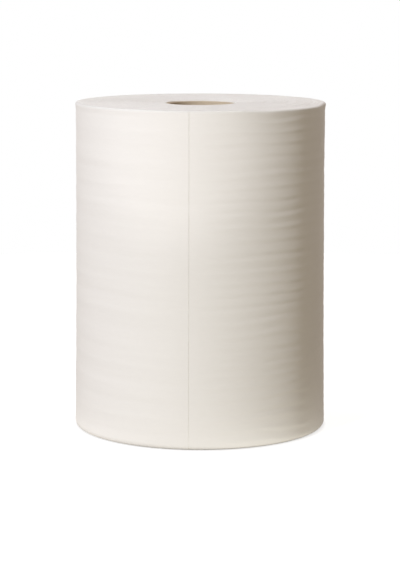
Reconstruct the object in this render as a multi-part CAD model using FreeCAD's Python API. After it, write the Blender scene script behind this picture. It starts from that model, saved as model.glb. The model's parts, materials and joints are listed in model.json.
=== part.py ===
"""Nonwoven wipe roll: one long web of soft nonwoven cloth wound on a paperboard core.

Millimetres and degrees. +Z runs up the roll's axis and the origin is on that axis, in the
plane the roll stands on. -Y is the front, where the web's loose end, the tail, lies flat
against the turn below it, a little to the left of the middle.

The roll is a spiral in plan. Two half turns about two centres draw it: the centres lie on
the line through the tail, half a web thickness apart, so the outside grows by one web
thickness in each turn and ends in the step of the tail.
"""

import FreeCAD, Part
import math
import os

# The web as it is wound
web_width = 320.0  # the roll's length along its axis
roll_diameter = 244.0  # across the roll at mid height
base_spread = 1.8  # added to the radius at the base, where the soft roll stands
top_draw = 0.5  # taken off the radius at the top
foot_radius = 5.0  # soft rounding of the rim that the roll stands on
foot_facets = 3  # straight facets that stand for the rounding
lip_flare = 1.0  # the sawn upper rim stands out this much
lip_height = 9.0  # and over this height below the top
lip_radius = 2.0  # rounding of the upper rim
lip_facets = 2  # straight facets that stand for its rounding
web_thickness = 0.4  # one layer of cloth, and so the height of the tail's step
tail_angle = -95.0  # where the tail ends, about +Z from +X

# The paperboard core
core_bore = 60.0  # diameter of the hole through the roll
core_wall = 4.0
core_recess = 2.3  # the board stops this far inside each end of the cloth
core_lip_chamfer = 0.4  # the saw leaves the board's inner edges broken this much

# The turns, as they show on the sawn ends: one groove for each group of layers
turns_shown = 7
turn_groove_width = 0.9
turn_groove_depth = 0.4
plain_rim = 5.0  # unmarked cloth inside the first groove and outside the last

roll_radius = roll_diameter / 2
core_outer_radius = core_bore / 2 + core_wall
tail = FreeCAD.Vector(math.cos(math.radians(tail_angle)), math.sin(math.radians(tail_angle)), 0)
up = FreeCAD.Vector(0, 0, 1)


def at(radius, height, centre=0.0):
    """A point in the upright plane through the tail: radius out from a centre on the tail's line."""
    return tail * (centre + radius) + up * height


def half_turn(outline, centre, first):
    """Half of a solid of revolution about an upright line through centre. The first half runs
    on from the tail's line, and the second half runs back to it."""
    start = Part.Face(outline)
    if not first:
        start.rotate(tail * centre, up, 180)
    return start.revolve(tail * centre, up, 180)


def rim_corners(outer_radius, rounding, facets, end, inward, centre):
    """Corners of one rounded rim's facets, from the flat end at height end round to the side.
    inward is 1 at the base and -1 at the top."""
    corners = []
    for step in range(facets + 1):
        turn = math.radians(90 * step / facets)
        radius = outer_radius - rounding * (1 - math.sin(turn))
        corners.append(at(radius, end + inward * rounding * (1 - math.cos(turn)), centre))
    return corners


def wound_outline(radius, centre):
    """The roll's section from its middle to its outside: flat ends, a rounded foot, a side that
    draws in towards the top, and the flared lip above it. radius is the one at mid height."""
    base_radius = radius + base_spread
    top_radius = radius - top_draw
    foot = rim_corners(base_radius, foot_radius, foot_facets, 0, 1, centre)
    neck = at(top_radius, web_width - lip_height, centre)
    lip = rim_corners(top_radius + lip_flare, lip_radius, lip_facets, web_width, -1, centre)
    pull = at(2 * radius - (base_radius + top_radius) / 2, web_width / 2, centre)
    side = Part.BezierCurve()
    side.setPoles([foot[-1], pull, neck])
    middle_foot = at(0, 0, centre)
    over_top = [neck] + lip[::-1] + [at(0, web_width, centre), middle_foot]
    edges = Part.makePolygon([middle_foot] + foot).Edges + [side.toShape()]
    return Part.Wire(edges + Part.makePolygon(over_top).Edges)


def spiral_halves(inner_radius, pitch, turns):
    """(radius, centre, first) of each half turn of a spiral that starts on the tail's line at
    inner_radius and grows by pitch in each turn."""
    halves = []
    for half in range(2 * turns):
        first = half % 2 == 0
        centre = -pitch / 4 if first else pitch / 4
        halves.append((inner_radius + pitch / 4 + half * pitch / 2, centre, first))
    return halves


def turn_groove(height):
    """The V groove that follows the wound layers from the core to the rim, in the end at height."""
    inner = core_outer_radius + plain_rim
    outer = roll_radius - foot_radius - plain_rim
    pitch = (outer - inner) / turns_shown
    half_width = turn_groove_width / 2
    cutters = []
    for radius, centre, first in spiral_halves(inner, pitch, turns_shown):
        diamond = [
            at(radius - half_width, height, centre),
            at(radius, height - turn_groove_depth, centre),
            at(radius + half_width, height, centre),
            at(radius, height + turn_groove_depth, centre),
            at(radius - half_width, height, centre),
        ]
        cutters.append(half_turn(Part.makePolygon(diamond), centre, first))
    return cutters


def wound_web():
    """Every turn of cloth as one solid, with the tail's step outside and the core's hole inside."""
    layers = []
    for radius, centre, first in spiral_halves(roll_radius - web_thickness, web_thickness, 1):
        layers.append(half_turn(wound_outline(radius, centre), centre, first))
    roll = layers[0].fuse(layers[1])
    roll = roll.cut(Part.makeCylinder(core_outer_radius, web_width))
    for height in (0, web_width):
        roll = roll.cut(turn_groove(height))
    return roll


def core_tube():
    """The board tube, sawn a little shorter than the cloth, its inner edges slightly broken."""
    bore_radius = core_bore / 2
    low, high = core_recess, web_width - core_recess
    tube = Part.makeCylinder(core_outer_radius, high - low, up * low)
    tube = tube.cut(Part.makeCylinder(bore_radius, high - low, up * low))
    lip = bore_radius + core_lip_chamfer
    tube = tube.cut(Part.makeCone(lip, bore_radius, core_lip_chamfer, up * low))
    broken = up * (high - core_lip_chamfer)
    return tube.cut(Part.makeCone(bore_radius, lip, core_lip_chamfer, broken))


def export(name, shape):
    """Checks that the piece is one sound solid, and writes it."""
    solids = shape.Solids
    if len(solids) != 1 or not solids[0].isValid():
        raise ValueError(f"{name} is not one valid solid")
    solids[0].exportStep(os.path.join("parts", name + ".step"))
    box = solids[0].BoundBox
    print(name, "volume", round(solids[0].Volume), "faces", len(solids[0].Faces),
          "size", round(box.XLength, 2), round(box.YLength, 2), round(box.ZLength, 2))


os.makedirs("parts", exist_ok=True)
export("wound_web", wound_web())
export("core_tube", core_tube())
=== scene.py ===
import json
import math

import bmesh
import bpy
import numpy as np
from mathutils import Matrix, Vector


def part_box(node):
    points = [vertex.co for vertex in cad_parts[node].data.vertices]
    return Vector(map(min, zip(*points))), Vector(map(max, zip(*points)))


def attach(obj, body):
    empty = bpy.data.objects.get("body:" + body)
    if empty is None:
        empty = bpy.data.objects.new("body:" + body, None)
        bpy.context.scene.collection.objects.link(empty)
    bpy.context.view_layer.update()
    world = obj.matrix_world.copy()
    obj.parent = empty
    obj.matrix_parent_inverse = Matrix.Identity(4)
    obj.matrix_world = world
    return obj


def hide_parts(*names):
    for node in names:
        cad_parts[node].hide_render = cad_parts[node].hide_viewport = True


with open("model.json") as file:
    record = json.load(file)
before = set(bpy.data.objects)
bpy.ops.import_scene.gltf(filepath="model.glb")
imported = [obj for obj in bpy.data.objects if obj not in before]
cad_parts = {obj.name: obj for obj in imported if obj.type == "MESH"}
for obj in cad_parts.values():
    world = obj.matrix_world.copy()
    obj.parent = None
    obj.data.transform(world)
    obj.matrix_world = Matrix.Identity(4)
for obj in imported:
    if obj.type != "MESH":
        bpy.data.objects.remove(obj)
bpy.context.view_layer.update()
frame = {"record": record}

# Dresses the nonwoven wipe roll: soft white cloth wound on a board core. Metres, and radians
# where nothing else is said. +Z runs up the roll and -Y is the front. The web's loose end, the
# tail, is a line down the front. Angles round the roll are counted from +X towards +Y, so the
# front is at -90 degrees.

# The roll, as it is in the frame
web_low, web_high = (Vector(corner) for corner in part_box("wound_web"))
core_low, core_high = (Vector(corner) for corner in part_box("core_tube"))
roll_height = web_high.z
core_outer = (core_high.x - core_low.x) / 2
core_inner = frame["record"]["mounts"][0]["dims"]["r_mm"] / 1000
web_thickness = 0.0004
base_spread = 0.0018  # the roll is this much wider in radius at its foot than at mid height
top_draw = 0.0005  # and this much narrower just under its upper rim
foot_radius = 0.005  # rounding of the rim that it stands on
lip_flare = 0.0008  # the sawn upper rim stands out this much, a little less than the solid's
lip_height = 0.009  # and over this height
lip_radius = 0.002  # rounding of the upper rim
rim_slump = 0.0014  # the upper rim has slumped by up to this much at the front's right
core_slump = 0.0006  # and the cloth round the core by up to this much at the back
hollow = 0.0014  # the sawn upper end, a little bulged, is this much lower at the core
shoulder = 0.0004  # and this much lower at its rim than at the top of the bulge
bulge_top = 0.09  # how far out that is
tail_angle = math.radians(-95)
roll_radius = (web_high.x - web_low.x + web_thickness) / 2 - base_spread
lip_low = roll_height - lip_height
lip_high = roll_height - shoulder - lip_radius  # where the upper rim's rounding starts

# The grooves between groups of turns on the sawn ends
groove_width = 0.0009
groove_depth = 0.0004
turns_shown = 7
plain_rim = 0.005  # unmarked cloth inside the first groove and outside the last
first_groove = core_outer + plain_rim
groove_pitch = (roll_radius - foot_radius - plain_rim - first_groove) / turns_shown

COLUMNS = 192  # round the roll
SHARES = np.linspace(0, 1, COLUMNS + 1)
ANGLES = tail_angle + 2 * math.pi * SHARES

random = np.random.default_rng(11)


# ---------------------------------------------------------------- shapes

def smoothstep(low, high, value):
    """0 below low, 1 above high and a soft step between."""
    share = np.clip((value - low) / (high - low), 0, 1)
    return share * share * (3 - 2 * share)


def drift(angle, height, waves, turns, rise):
    """Soft random unevenness of the side, about -1 to 1. Each wave goes up to turns times round
    the roll, and its phase runs up to rise radians a metre with height."""
    total = np.zeros_like(angle + height)
    for _ in range(waves):
        around = random.integers(0, turns + 1)
        phase = random.uniform(0, 2 * math.pi)
        total += np.cos(around * angle + random.uniform(-rise, rise) * height + phase)
    return total / math.sqrt(waves)


def beside(angle, middle, near, far):
    """1 within near of the angle middle, 0 beyond far and a soft step between. angle is in
    radians, and the others are in degrees."""
    low, high = math.cos(math.radians(far)), math.cos(math.radians(near))
    return smoothstep(low, high, np.cos(angle - math.radians(middle)))


def ring_mesh(name, rows, stepped, slots, uvs):
    """A closed ring-shaped mesh from a grid of points: rows go round the section and columns go
    round the roll. The first and the last column stand on one line. A stepped row is open there
    by the height of the tail's step, which gets a wall of its own, and elsewhere points that
    meet are welded. slots and uvs are the material and the texture coordinates of each row."""
    row_count, last = rows.shape[0], rows.shape[1] - 1
    mesh = bpy.data.meshes.new(name)
    shape = bmesh.new()
    layer = shape.loops.layers.uv.new("unrolled")
    points = [[shape.verts.new(point) for point in row] for row in rows.tolist()]

    def face(corners, slot):
        made = shape.faces.new([points[i][c] for i, c in corners])
        made.smooth = True
        made.material_index = slot
        for loop, (i, c) in zip(made.loops, corners):
            loop[layer].uv = uvs[i, c]

    for i in range(row_count):
        j = (i + 1) % row_count
        for c in range(last):
            corners = [(i, c), (i, c + 1), (j, c + 1), (j, c)]
            if c + 1 == last and stepped[i] != stepped[j]:
                corners.insert(2, (j if stepped[j] else i, 0))
            face(corners, int(slots[i]))
        if stepped[i] and stepped[j]:
            face([(i, last), (i, 0), (j, 0), (j, last)], int(slots[i]))
    bmesh.ops.remove_doubles(shape, verts=shape.verts, dist=1e-6)
    shape.to_mesh(mesh)
    shape.free()
    mesh.set_sharp_from_angle(angle=math.radians(38))
    piece = bpy.data.objects.new(name, mesh)
    bpy.context.collection.objects.link(piece)
    return piece


def rim(outer, rounding, level, inward, steps):
    """Radius and height of the points of one rounded rim, from the flat end round to the side."""
    turn = np.linspace(0, math.pi / 2, steps + 1)
    radius = outer - rounding * (1 - np.sin(turn))
    height = level + inward * rounding * (1 - np.cos(turn))
    return np.column_stack([radius, height])


def side_profile():
    """Radius and height of the rolled side: the rounded foot, the side that draws in a little
    towards the top, the lip, which flare() bends, and the rounded upper rim."""
    foot_steps, side_rows, lip_rows, rim_steps = 8, 232, 12, 6
    base_radius, top_radius = roll_radius + base_spread, roll_radius - top_draw
    foot = rim(base_radius, foot_radius, 0, 1, foot_steps)
    share = np.linspace(0, 1, side_rows + 1)[1:]
    pull = roll_radius - (base_spread - top_draw) / 2  # the side's curve bends towards this
    radius = base_radius * (1 - share) ** 2 + 2 * pull * share * (1 - share) + top_radius * share ** 2
    side = np.column_stack([radius, foot_radius + (lip_low - foot_radius) * share])
    share = np.linspace(0, 1, lip_rows + 1)[1:-1]
    lip = np.column_stack([top_radius + 0 * share, lip_low + (lip_high - lip_low) * share])
    head = rim(top_radius, lip_radius, roll_height - shoulder, -1, rim_steps)[::-1]
    return np.vstack([foot, side, lip, head])


def sag(radius):
    """How far the bulged upper end lies below its highest circle."""
    inner = hollow * np.clip((bulge_top - radius) / (bulge_top - core_outer), 0, 1) ** 2
    outer = shoulder * np.clip((radius - bulge_top) / (roll_radius - bulge_top), 0, None) ** 2
    return inner + outer


def sawn_end(level, outward, edge):
    """Points of one sawn end, from the core out to the radius edge. Its rows follow the wound
    layers, so each runs outwards by one groove pitch in a turn: the groove that the solid has,
    and three finer ones between its turns, of uneven depth. outward is 1 for the top, which
    bulges, and -1 for the base, which is flat."""
    fine_width, fine_depth, unevenness = 0.0006, 0.00014, 0.25
    fade = 0.0015  # the grooves die out over this width at the end's edges
    starts = 4
    first, final = -2, turns_shown + 1
    lap = 6.28  # about one turn, in radians
    radii, depths = [core_outer + 0 * SHARES], [0 * SHARES]
    waves = [(random.uniform(0.6, 5), random.uniform(0, lap)) for _ in range(12)]
    for turn in range(first, final):
        for start in range(starts):
            wound = turn + SHARES
            centre = first_groove + (wound + start / starts) * groove_pitch
            uneven = sum(math.cos(start) * np.cos(rate * lap * wound + phase) for rate, phase in waves)
            main = groove_depth * ((wound >= 0) & (wound <= turns_shown))
            depth = main if start == 0 else fine_depth * np.maximum(0, 1 + unevenness * uneven)
            half = (groove_width if start == 0 else fine_width) / 2
            for offset, share in ((-half, 0), (0, 1), (half, 0)):
                radii.append(centre + offset)
                depths.append(depth * share)
    radii.append(edge + 0 * SHARES)
    depths.append(0 * SHARES)
    radius = np.clip(radii, core_outer, edge)
    from_core = smoothstep(core_outer, core_outer + fade, radius)
    from_side = 1 - smoothstep(edge - fade, edge, radius)
    drop = np.array(depths) * (from_core * from_side) + (sag(radius) if outward == 1 else 0)
    height = level - outward * drop
    return np.stack([radius, height], -1)


def ribs(angle, height):
    """Shallow bands round the side, about one to every 10 mm and finer ones between, where
    winding drew the cloth tight, and swells between them. The bands come and go, and are
    strongest on the front's right and weakest on its left. Both die out towards the ends."""
    pitch, depth, fine_pitch, fine_share = 0.01, 0.00051, 0.0056, 0.25
    top_band = 0.0015  # how far the first band lies below the upper end
    plain_end = 0.006
    wander = 0.0014 * drift(angle, height, waves=24, turns=9, rise=90)
    strength = np.maximum(0.2, 0.85 + 0.28 * drift(angle, height, waves=30, turns=20, rise=200))
    bands = np.cos(2 * math.pi * (roll_height - height + wander - top_band) / pitch)
    fine = np.sin(2 * math.pi * (height - 1.5 * wander) / fine_pitch)
    share = 0.17 + 0.27 * beside(angle, -62, 11.48, 30.68)  # of depth, at each angle
    share += 0.48 * beside(angle, -46, 5.73, 17.25) - 0.1 * beside(angle, -140, 43.95, 72.54)
    swells = 0.0001 * drift(angle, height, waves=16, turns=3, rise=340)
    from_end = smoothstep(0, plain_end, np.minimum(height, roll_height - height))
    return from_end * (swells + depth * strength * share * (bands + fine_share * fine))


def flare(angle, height):
    """How far the sawn upper rim stands out. It hardly does on the front's left, and is worn in
    a little on the front's far right."""
    curve = 1.3
    share = np.clip((height - lip_low) / (lip_high - lip_low), 0, 1)
    # 1 is worn flat, and more than 1 is worn in
    worn = 0.9 * beside(angle, -128, 36.87, 60) + 1.5 * beside(angle, -30, 14.07, 28.36)
    return lip_flare * share ** curve * (1 - worn)


def slump(radius, height):
    """How far the upper end has slumped: at its rim on the front's right, and round the core at
    the back and a little on the left. radius and height have a column for each of ANGLES."""
    reach, core_reach = 0.025, 0.02  # how far from the rim and from the core this is felt
    outermost, topmost = 0.003, 0.004  # and how far in and down it is felt in full
    near_rim = smoothstep(roll_radius - reach, roll_radius - outermost, radius)
    near_core = 1 - smoothstep(core_outer, core_outer + core_reach, radius)
    near_top = smoothstep(roll_height - reach, roll_height - topmost, height)
    at_rim = rim_slump * near_rim * beside(ANGLES, -40, 14.98, 32.86)
    at_core = core_slump * near_core * (beside(ANGLES, 75, 36.87, 72.54)
                                        + 0.35 * beside(ANGLES, -165, 36.87, 72.54))
    return near_top * (at_rim + at_core)


def around(values):
    """Values by row and column, with the first column's repeated as the last."""
    return np.column_stack([values, values[:, 0]])


def wound_web():
    """The cloth: a spiral in plan, so its outside grows by one layer in a turn. On the roll's
    lower half the tail is pressed down, so its step is a quarter lower there."""
    bore_rows = 12
    side_slot, end_slot = 0, 1
    margin = 2 * web_thickness  # plain cloth between a sawn end's rows and the rim's rounding
    profile = side_profile()
    angle, side_height = ANGLES[None, :-1], profile[:, 1:]
    lumps = 0.00012 * drift(angle, side_height, waves=10, turns=4, rise=14)
    uneven = around(lumps + ribs(angle, side_height) + flare(angle, side_height))
    step = web_thickness * (0.75 + 0.25 * smoothstep(0.14, 0.22, side_height))
    growth = step * (SHARES - 0.5)
    side = np.stack([profile[:, :1] + growth + uneven, side_height + 0 * growth], -1)
    base = sawn_end(0, -1, profile[0, 0] - margin)
    top = sawn_end(roll_height, 1, profile[-1, 0] - margin)[::-1]
    bore_height = np.linspace(roll_height - hollow, 0, bore_rows + 1)[1:-1, None] + 0 * SHARES
    bore = np.stack([core_outer + 0 * bore_height, bore_height], -1)
    section = np.concatenate([base, side, top, bore])
    slots = np.repeat([end_slot, side_slot, end_slot, side_slot],
                      [len(base), len(side), len(top), len(bore)])
    slots[len(base) - 1] = side_slot  # the base's plain margin
    stepped = np.repeat([False, True, False], [len(base), len(side), len(top) + len(bore)])
    radius, height = section[..., 0], section[..., 1]
    level = height - slump(radius, height)
    rows = np.stack([radius * np.cos(ANGLES), radius * np.sin(ANGLES), level], -1)
    along = np.where((slots == end_slot)[:, None], radius, height)
    uvs = np.stack([2 * math.pi * roll_radius * SHARES + 0 * height, along], -1)
    piece = ring_mesh("wound_web_cloth", rows, stepped, slots, uvs)
    piece.data.materials.append(cloth_material("cloth_side", False))
    piece.data.materials.append(cloth_material("cloth_end", True))
    return piece


def core_tube():
    """The board tube, a little shorter than the cloth, with its inner edges broken."""
    broken = 0.0004
    inset = broken * 0.3  # of the one point on each broken edge, which makes it nearly round
    outside_rows, inside_rows = 9, 41
    low, high = core_low.z, core_high.z
    outside = np.linspace(low, high, outside_rows)
    inside = np.linspace(high - broken, low + broken, inside_rows)
    section = [(core_inner + broken, low)] + [(core_outer, h) for h in outside]
    section += [(core_inner + broken, high), (core_inner + inset, high - inset)]
    section += [(core_inner, h) for h in inside] + [(core_inner + inset, low + inset)]
    radius, height = np.array(section).T[:, :, None] + 0 * SHARES
    rows = np.stack([radius * np.cos(ANGLES), radius * np.sin(ANGLES), height], -1)
    uvs = np.stack([ANGLES * core_inner + 0 * height, height], -1)
    flags = np.zeros(len(section), int)
    piece = ring_mesh("core_tube_board", rows, flags, flags, uvs)
    piece.data.materials.append(board_material())
    return piece


# ---------------------------------------------------------------- materials

def new_material(name):
    """A material with a Principled shader. Returns it, its node tree and the shader."""
    material = bpy.data.materials.new(name)
    material.use_nodes = True
    tree = material.node_tree
    return material, tree, tree.nodes["Principled BSDF"]


def add(tree, kind, settings, inputs):
    """Adds a node. settings are its properties, and inputs are values or sockets for its inputs."""
    made = tree.nodes.new("ShaderNode" + kind)
    for name, value in settings.items():
        setattr(made, name, value)
    for name, value in inputs.items():
        if isinstance(value, bpy.types.NodeSocket):
            tree.links.new(value, made.inputs[name])
        else:
            made.inputs[name].default_value = value
    return made


def maths(tree, operation, *values):
    """The output of a Math node."""
    return add(tree, "Math", {"operation": operation}, dict(enumerate(values))).outputs[0]


def ramp(tree, value, low, low_colour, high, high_colour):
    """A colour that runs from one to another as value goes from low to high."""
    made = add(tree, "ValToRGB", {}, {0: value})
    dark, light = made.color_ramp.elements
    dark.position, light.position = low, high
    dark.color, light.color = (*low_colour, 1), (*high_colour, 1)
    return made.outputs[0]


def soft_step(tree, value, low, high, at_low, at_high):
    """A number that goes softly from at_low to at_high as value goes from low to high."""
    return add(tree, "MapRange", {"interpolation_type": "SMOOTHSTEP"},
               {0: value, 1: low, 2: high, 3: at_low, 4: at_high}).outputs[0]


def cloth_material(name, at_end):
    """Matt warm white nonwoven: cloudy in its density, with fibres laid mostly along the web.
    The ends show the edges of the layers as well."""
    material, tree, shader = new_material(name)
    unrolled = add(tree, "UVMap", {"uv_map": "unrolled"}, {}).outputs[0]
    stretched = add(tree, "Mapping", {}, {"Vector": unrolled, "Scale": (0.3, 1, 1)}).outputs[0]
    clouds = add(tree, "TexNoise", {}, {"Vector": stretched, "Scale": 420, "Detail": 3}).outputs[0]
    combed = add(tree, "Mapping", {}, {"Vector": unrolled, "Scale": (0.16, 1, 1)}).outputs[0]
    fibres = add(tree, "TexNoise", {}, {"Vector": combed, "Scale": 2600, "Detail": 4,
                                        "Roughness": 0.7}).outputs[0]
    colour = ramp(tree, clouds, 0.25, (0.854, 0.835, 0.807), 0.75, (0.866, 0.848, 0.820))
    if at_end:
        colour, height = layer_edges(tree, colour, fibres)
    else:
        colour, height = painted_rim_shade(tree, unrolled, colour), fibres
    tree.links.new(colour, shader.inputs["Base Color"])
    bump = add(tree, "Bump", {}, {"Height": height, "Distance": 0.0001, "Strength": 0.5}).outputs[0]
    tree.links.new(bump, shader.inputs["Normal"])
    shader.inputs["Roughness"].default_value = 0.95
    shader.inputs["Specular IOR Level"].default_value = 0.15
    shader.inputs["Sheen Weight"].default_value = 0.12
    shader.inputs["Sheen Roughness"].default_value = 0.5
    return material


def shaded(tree, colour, shade):
    """A colour times a shade, which is 1 where the colour stays as it is."""
    return add(tree, "Mix", {"data_type": "RGBA", "blend_type": "MULTIPLY"},
               {0: 1.0, 6: colour, 7: shade}).outputs[2]


def painted_rim_shade(tree, unrolled, colour):
    """The side's colour with painted shade on the rounded upper rim, which dims the bright line that
    the lamps throw there. It is strongest on the left and fades to none on the right."""
    left_painted_shade, rim_low, rim_high = 0.9, roll_height - 0.0028, roll_height - 0.0014
    height = add(tree, "SeparateXYZ", {}, {0: unrolled}).outputs[1]
    place = add(tree, "TexCoord", {}, {}).outputs["Object"]
    across = add(tree, "SeparateXYZ", {}, {0: place}).outputs[0]
    # painted shade: the rim's colour is darkened on the left, where the lamps light the rounding most
    at_rim = soft_step(tree, across, -0.02, 0.06, left_painted_shade, 1.0)
    return shaded(tree, colour, soft_step(tree, height, rim_low, rim_high, 1.0, at_rim))


def layer_edges(tree, colour, fibres):
    """Colour and height of the layers' edges on the roll's ends: a spiral line between each
    layer and the next, and bands where the layers were wound tighter or looser. Towards the
    front's right the ends carry painted light, which makes their colour a little lighter."""
    darkest, edge_shade, band_shade = 0.84, 0.35, 0.16
    edge_relief, band_relief = 1.2, 2.0
    painted_light_right = 1.07
    place = add(tree, "TexCoord", {}, {}).outputs["Object"]
    axes = add(tree, "SeparateXYZ", {}, {0: place}).outputs
    angle = maths(tree, "ARCTAN2", axes[1], axes[0])
    flat = add(tree, "CombineXYZ", {}, {0: axes[0], 1: axes[1]}).outputs[0]
    radius = add(tree, "VectorMath", {"operation": "LENGTH"}, {0: flat}).outputs["Value"]
    turns = maths(tree, "SUBTRACT", maths(tree, "DIVIDE", radius, web_thickness),
                  maths(tree, "DIVIDE", angle, 2 * math.pi))
    edge = maths(tree, "PINGPONG", maths(tree, "FRACT", turns), 0.5)
    bands = add(tree, "TexNoise", {"noise_dimensions": "1D"},
                {"W": radius, "Scale": 420, "Detail": 6, "Roughness": 0.75}).outputs[0]
    shade = maths(tree, "MULTIPLY_ADD", edge, edge_shade, darkest)
    shade = maths(tree, "MULTIPLY_ADD", bands, band_shade, shade)
    # painted light: the ends' colour is raised by up to 7% towards the front's right
    towards_right = maths(tree, "MULTIPLY_ADD", axes[1], -0.5, axes[0])
    painted_light = soft_step(tree, towards_right, 0.06, 0.14, 1.0, painted_light_right)
    relief = maths(tree, "MULTIPLY_ADD", edge, edge_relief, fibres)
    relief = maths(tree, "MULTIPLY_ADD", bands, band_relief, relief)
    return shaded(tree, colour, maths(tree, "MULTIPLY", shade, painted_light)), relief


def board_material():
    """Matt tan paperboard with a fine fibrous mottle."""
    material, tree, shader = new_material("paperboard")
    place = add(tree, "TexCoord", {}, {}).outputs["Object"]
    grain = add(tree, "TexNoise", {}, {"Vector": place, "Scale": 700, "Detail": 5,
                                       "Roughness": 0.65}).outputs[0]
    colour = ramp(tree, grain, 0.3, (0.488, 0.4, 0.291), 0.7, (0.592, 0.494, 0.378))
    tree.links.new(colour, shader.inputs["Base Color"])
    bump = add(tree, "Bump", {}, {"Height": grain, "Distance": 0.0001, "Strength": 0.4}).outputs[0]
    tree.links.new(bump, shader.inputs["Normal"])
    shader.inputs["Roughness"].default_value = 0.85
    shader.inputs["Specular IOR Level"].default_value = 0.25
    return material


# ---------------------------------------------------------------- studio

WORLD_COLOUR = (0.236, 0.182, 0.164, 1)
WHITE = (1, 1, 1, 1)
LAMPS = {  # azimuth and elevation as bearing() takes them, distance, size, watts, colour
    "key": (-35, 10, 3.0, 0.2, 52.6, (0.966, 1.0, 1.063)),
    "front_fill": (15, 10, 2.2, 0.8, 7.2, (0.961, 1.0, 0.752)),
    "back_left": (-130, 20, 2.2, 0.8, 7.8, (0.98, 1.0, 0.88)),
    "behind": (180, 3, 2.2, 0.4, 12, (0.99, 1.0, 0.97)),
    "back_right": (150, 25, 2.2, 0.8, 10.3, (1.03, 1.0, 0.9)),
    "high_left": (-90, 74, 1.66, 0.25, 9.4, (0.949, 1.0, 1.074)),
}
BEAM_COLOUR = (1.018, 1.0, 1.057)
FLOOR_BOUNCE = (0.30, 0.25, 0.18, 1)  # the floor's colour for the light that it sends up
# Light that the floor throws up on the roll's base: azimuth as above, width in metres, strength
FLOOR_GLOWS = [(-70, 0.052, 0.34), (30, 0.085, 0.37), (50, 0.082, 0.4)]
FLOOR_GLOW_COLOUR = (1, 1, 0.95, 1)


def bearing(azimuth, elevation=0):
    """The direction from the roll to a lamp. Its angles are in degrees. Azimuth 0 is the
    camera's side, and it grows to the camera's right."""
    across, up = math.radians(azimuth), math.radians(elevation)
    return Vector((math.sin(across) * math.cos(up), -math.cos(across) * math.cos(up), math.sin(up)))


def place_lamp(name, kind, power, colour, place, way):
    """A lamp at place that shines against way. Returns its settings."""
    light = bpy.data.lights.new(name, kind)
    light.energy = power
    light.color = colour
    placed = bpy.data.objects.new(name, light)
    placed.location = place
    placed.rotation_euler = way.to_track_quat("Z", "Y").to_euler()
    bpy.context.collection.objects.link(placed)
    return light


def soft_lamp(name, azimuth, elevation, distance, size, power, colour):
    """A square soft lamp that faces the middle of the roll."""
    way = bearing(azimuth, elevation)
    place = Vector((0, 0, roll_height / 2)) + way * distance
    place_lamp(name, "AREA", power, colour, place, way).size = size


def beam():
    """A weak spot lamp whose soft round pool of light lies on the upper left of the front."""
    azimuth, height, distance, pool_radius, power = -11, 0.283, 2.0, 0.089, 15.0
    way = bearing(azimuth)
    place = way * (roll_radius + distance) + Vector((0, 0, height))
    light = place_lamp("beam", "SPOT", power, BEAM_COLOUR, place, way)
    light.spot_size = 2 * math.atan(pool_radius / distance)
    light.spot_blend = 0.15
    light.shadow_soft_size = 0.03


def seen_directly(tree):
    """1 for what the camera sees, straight or by reflection or through glass, and else 0."""
    path = add(tree, "LightPath", {}, {}).outputs
    direct = maths(tree, "MAXIMUM", path["Is Camera Ray"], path["Is Glossy Ray"])
    return maths(tree, "MAXIMUM", direct, path["Is Transmission Ray"])


def floor_glow(tree, place, azimuth, width, strength):
    """The strength of one broad patch of light on the floor, brightest just outside the foot."""
    narrowness = 4.0
    radius = add(tree, "VectorMath", {"operation": "LENGTH"}, {0: place}).outputs["Value"]
    near = soft_step(tree, radius, roll_radius + 0.002, roll_radius + width, strength, 0.0)
    clear = soft_step(tree, radius, roll_radius - 0.001, roll_radius + 0.003, 0.0, 1.0)
    way = add(tree, "VectorMath", {"operation": "NORMALIZE"}, {0: place}).outputs[0]
    facing = add(tree, "VectorMath", {"operation": "DOT_PRODUCT"}, {0: way, 1: bearing(azimuth)})
    lobe = maths(tree, "POWER", maths(tree, "MAXIMUM", facing.outputs["Value"], 0.0), narrowness)
    return maths(tree, "MULTIPLY", maths(tree, "MULTIPLY", near, clear), lobe)


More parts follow.
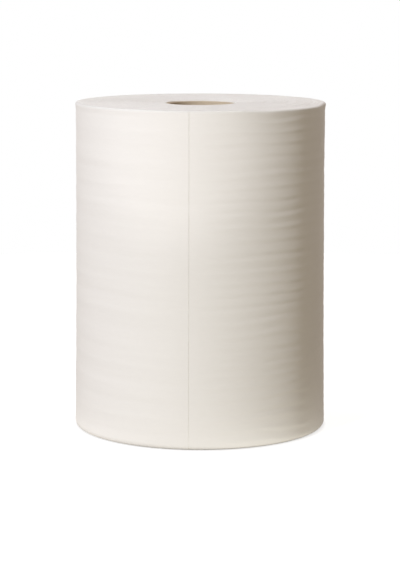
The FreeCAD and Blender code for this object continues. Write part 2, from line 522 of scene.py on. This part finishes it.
def pale_ground():
    """A matt ground that looks white, with a painted contact shadow right at the roll's foot, and
    keeps a faint real shadow. It lights the roll from below by FLOOR_BOUNCE and by a glow round the
    foot."""
    painted_contact_shadow_level, open_level, contact_width = 0.72, 0.87, 0.002
    shadow_keeper = (0.35, 0.35, 0.35, 1)  # the small part of the white that lamps light
    material, tree, shader = new_material("floor")
    shader.inputs["Base Color"].default_value = FLOOR_BOUNCE
    shader.inputs["Roughness"].default_value = 0.9
    shader.inputs["Specular IOR Level"].default_value = 0.1
    place = add(tree, "TexCoord", {}, {}).outputs["Object"]
    strength = 0.0
    for patch in FLOOR_GLOWS:
        strength = maths(tree, "ADD", strength, floor_glow(tree, place, *patch))
    thrown = add(tree, "Emission", {}, {0: FLOOR_GLOW_COLOUR, 1: strength}).outputs[0]
    lit = add(tree, "AddShader", {}, {0: shader.outputs[0], 1: thrown}).outputs[0]
    radius = add(tree, "VectorMath", {"operation": "LENGTH"}, {0: place}).outputs["Value"]
    foot = roll_radius + base_spread
    # painted contact shadow: the white is dimmer within contact_width of the roll's foot
    level = soft_step(tree, radius, foot, foot + contact_width, painted_contact_shadow_level, open_level)
    white = add(tree, "Emission", {}, {0: WHITE, 1: level}).outputs[0]
    grey = add(tree, "BsdfDiffuse", {}, {0: shadow_keeper}).outputs[0]
    seen = add(tree, "AddShader", {}, {0: white, 1: grey}).outputs[0]
    mix = add(tree, "MixShader", {}, {0: seen_directly(tree), 1: lit, 2: seen}).outputs[0]
    tree.links.new(mix, tree.nodes["Material Output"].inputs[0])
    return material


def floor():
    """A flat round floor under the roll."""
    bpy.ops.mesh.primitive_circle_add(vertices=96, radius=1.2, fill_type="NGON")
    disc = bpy.context.object
    disc.name = "floor"
    disc.data.materials.append(pale_ground())


def studio():
    """A dim world that looks white, a white floor, a key lamp to the left of the camera, weaker
    soft lamps in front, behind and high on the left, and a weak spot on the upper left."""
    world = bpy.data.worlds.new("studio")
    world.use_nodes = True
    bpy.context.scene.world = world
    tree = world.node_tree
    dim = tree.nodes["Background"]
    dim.inputs[0].default_value = WORLD_COLOUR
    dim.inputs[1].default_value = 1.0
    white = add(tree, "Background", {}, {0: WHITE, 1: 1.0}).outputs[0]
    mix = add(tree, "MixShader", {}, {0: seen_directly(tree), 1: dim.outputs[0], 2: white}).outputs[0]
    tree.links.new(mix, tree.nodes["World Output"].inputs[0])

    for name, settings in LAMPS.items():
        soft_lamp(name, *settings)
    beam()
    floor()


def camera():
    """A long lens a little above the roll, looking 9 degrees down."""
    focal_length = 129.3  # in millimetres, as Blender has it
    place = (-0.00007, -2.0, 0.4573)
    down = math.radians(9.061)
    lean = math.radians(0.125)
    view = bpy.data.cameras.new("camera")
    view.lens = focal_length
    placed = bpy.data.objects.new("camera", view)
    aim = Matrix.Rotation(math.pi / 2 - down, 4, "X") @ Matrix.Rotation(lean, 4, "Z")
    placed.matrix_world = Matrix.Translation(place) @ aim
    bpy.context.collection.objects.link(placed)
    bpy.context.scene.camera = placed


web = wound_web()
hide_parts("wound_web")
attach(web, "root")

core = core_tube()
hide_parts("core_tube")
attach(core, "root")

studio()
camera()
bpy.context.scene.view_settings.view_transform = "Standard"
